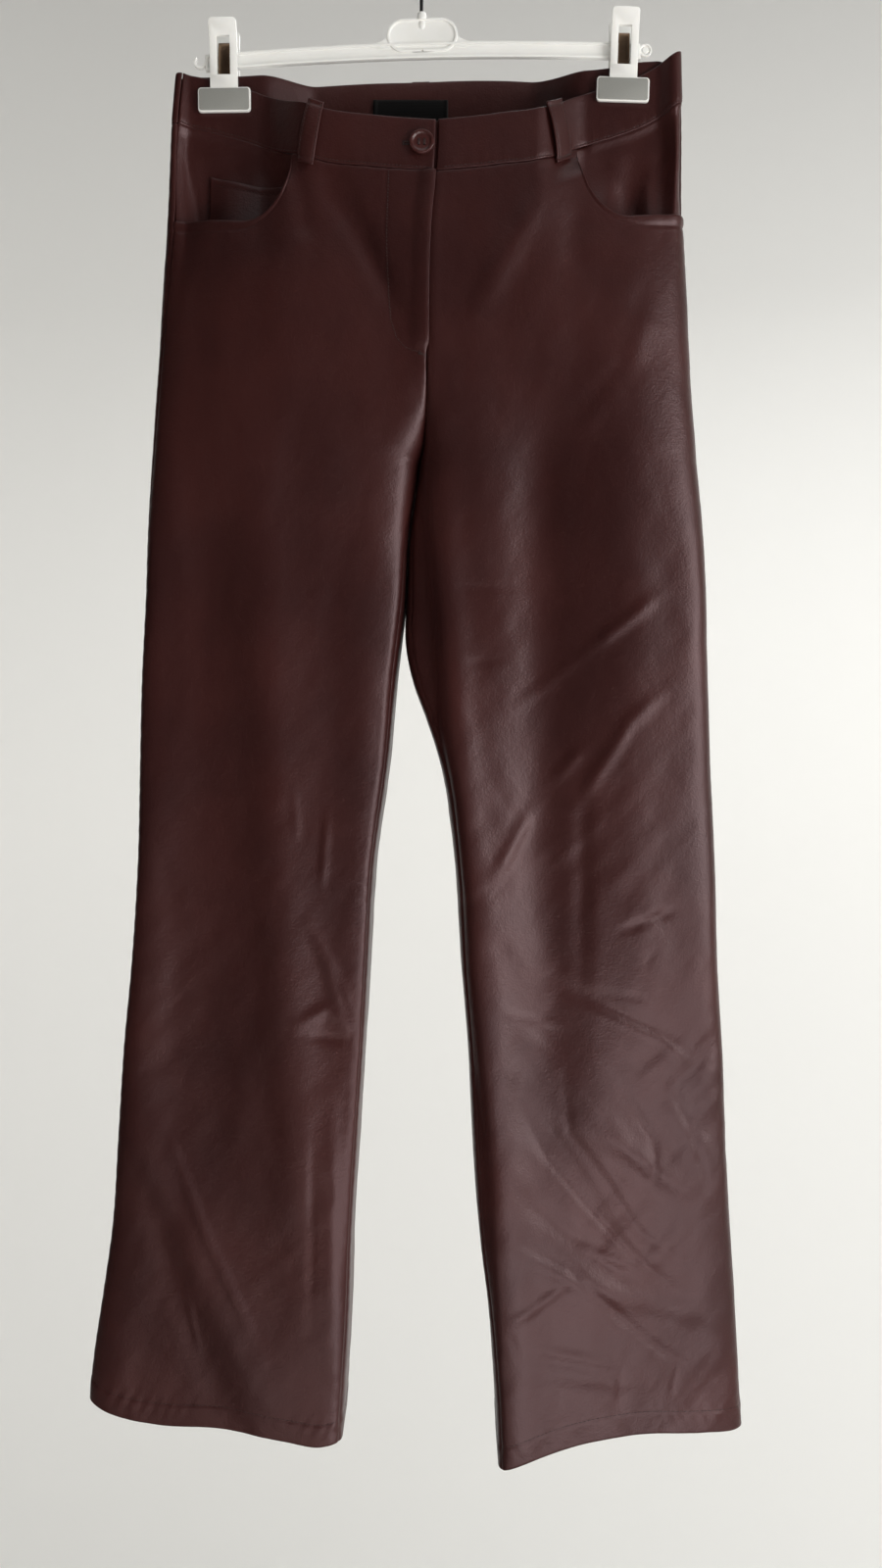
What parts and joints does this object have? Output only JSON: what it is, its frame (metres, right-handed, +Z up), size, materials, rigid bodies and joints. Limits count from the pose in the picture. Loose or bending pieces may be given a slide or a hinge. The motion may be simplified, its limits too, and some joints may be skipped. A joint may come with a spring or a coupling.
{
  "type": "trousers on a clip hanger",
  "caption": "Dark brown-burgundy faux leather trousers with straight legs, a buttoned waistband and curved front pockets, held at the waist by a white clip hanger.",
  "frame": {"origin": "the inner top of the hook's bend, where it rests on a rail", "axes": "+X to the wearer's left, +Y to the wearer's back, +Z up; the front faces -Y"},
  "size_m": [0.5057, 0.1347, 1.1744],
  "materials": {
    "faux_leather": "satin, fine pressed grain",
    "zip_tape": "matte woven tape",
    "button_plastic": "semi-gloss",
    "label_satin": "black woven satin, bare",
    "white_plastic": "semi-gloss moulded",
    "grey_rubber": "matte",
    "hook_wire": "drawn wire",
    "spring_steel": "brown tempered strip"
  },
  "bodies": {
    "root": {"back_left": "faux_leather", "back_right": "faux_leather", "belt_loop_1": "faux_leather", "belt_loop_2": "faux_leather", "belt_loop_3": "faux_leather", "belt_loop_4": "faux_leather", "belt_loop_5": "faux_leather", "button": "button_plastic", "clip_left_jaw_back": "white_plastic", "clip_left_jaw_front": "white_plastic", "clip_left_pad_back": "grey_rubber", "clip_left_pad_front": "grey_rubber", "clip_left_spring": "spring_steel", "clip_right_jaw_back": "white_plastic", "clip_right_jaw_front": "white_plastic", "clip_right_pad_back": "grey_rubber", "clip_right_pad_front": "grey_rubber", "clip_right_spring": "spring_steel", "coin_pocket": "faux_leather", "fly_underlap": "faux_leather", "fly_zip": "zip_tape", "front_left": "faux_leather", "front_right": "faux_leather", "hanger_bar": "white_plastic", "hook": "hook_wire", "label": "label_satin", "pocket_bearer_left": "faux_leather", "pocket_bearer_right": "faux_leather", "waistband_back": "faux_leather", "waistband_front_left": "faux_leather", "waistband_front_right": "faux_leather"}
  },
  "joints": []
}
